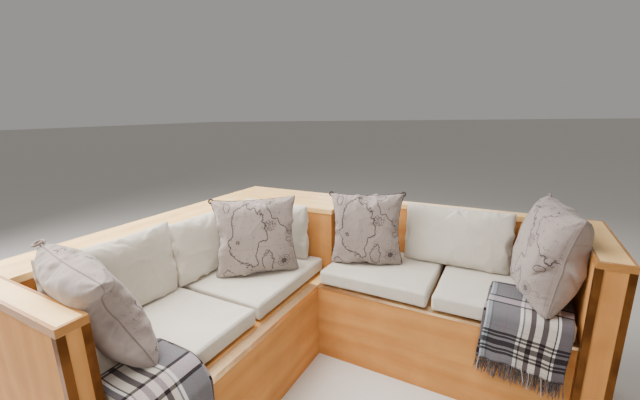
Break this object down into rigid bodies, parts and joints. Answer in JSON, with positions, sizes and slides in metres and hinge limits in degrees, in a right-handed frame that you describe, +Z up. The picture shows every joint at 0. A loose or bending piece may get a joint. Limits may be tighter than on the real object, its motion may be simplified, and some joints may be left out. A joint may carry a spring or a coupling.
{
  "type": "wheelhouse corner settee",
  "caption": "Built-in L-shaped corner settee of plywood with a ledge behind, arms, seat and back cushions, scatter pillows and folded tartan throws.",
  "frame": {"origin": "centre of the settee's outer footprint, on the floor", "axes": "+X along the right-hand seat, away from the corner; +Y towards the wall behind the right-hand seat; +Z up"},
  "size_m": [2.15, 1.727, 0.9468],
  "materials": {
    "panel_ply": "varnished birch plywood, warm orange tan, glossy",
    "ledge_maple": "varnished pale maple boards, glossy",
    "framing_pine": "planed softwood, unvarnished",
    "edge_bronze": "bronze-coloured metal angle, brushed, darkened with age",
    "seat_fabric": "pale greige woven cotton and linen",
    "pillow_linen": "grey linen with dark printed outlines and dark piping",
    "throw_tartan": "woven check in grey-blue, white, black and thin red lines, twisted fringe"
  },
  "bodies": {
    "root": {"left_front_panel": "panel_ply", "left_end_panel": "panel_ply", "left_seat_board_near": "panel_ply", "left_seat_board_far": "panel_ply", "left_bulkhead": "panel_ply", "left_back_panel": "panel_ply", "right_front_panel": "panel_ply", "right_seat_board_left": "panel_ply", "right_seat_board_right": "panel_ply", "right_bulkhead": "panel_ply", "right_back_panel": "panel_ply", "corner_box_front": "panel_ply", "corner_box_side": "panel_ply", "left_arm_outer_panel": "panel_ply", "left_arm_inner_panel": "panel_ply", "left_arm_post": "panel_ply", "right_arm_inner_panel": "panel_ply", "right_arm_outer_panel": "panel_ply", "right_arm_post": "panel_ply", "left_ledge": "ledge_maple", "corner_ledge": "ledge_maple", "right_ledge": "ledge_maple", "left_arm_cap": "ledge_maple", "right_arm_cap": "ledge_maple", "corner_filler": "ledge_maple", "left_seat_rail": "framing_pine", "right_seat_rail": "framing_pine", "left_back_ledger": "framing_pine", "right_back_ledger": "framing_pine", "left_floor_rail": "framing_pine", "left_top_rail": "framing_pine", "back_floor_rail": "framing_pine", "back_top_rail": "framing_pine", "left_wall_post_1": "framing_pine", "left_wall_post_2": "framing_pine", "corner_wall_post": "framing_pine", "back_wall_post_1": "framing_pine", "back_wall_post_2": "framing_pine", "left_edge_angle": "edge_bronze", "right_edge_angle": "edge_bronze", "left_arm_strip_outer": "edge_bronze", "left_arm_strip_inner": "edge_bronze", "right_arm_strip_inner": "edge_bronze", "right_arm_strip_outer": "edge_bronze", "left_seat_cushion_near": "seat_fabric", "left_seat_cushion_far": "seat_fabric", "right_seat_cushion_left": "seat_fabric", "right_seat_cushion_right": "seat_fabric", "left_back_cushion_near": "seat_fabric", "left_back_cushion_far": "seat_fabric", "corner_back_cushion": "seat_fabric", "right_back_cushion": "seat_fabric", "left_end_pillow": "pillow_linen", "left_middle_pillow": "pillow_linen", "corner_pillow": "pillow_linen", "right_end_pillow": "pillow_linen", "left_throw": "throw_tartan", "right_throw": "throw_tartan"}
  },
  "joints": []
}
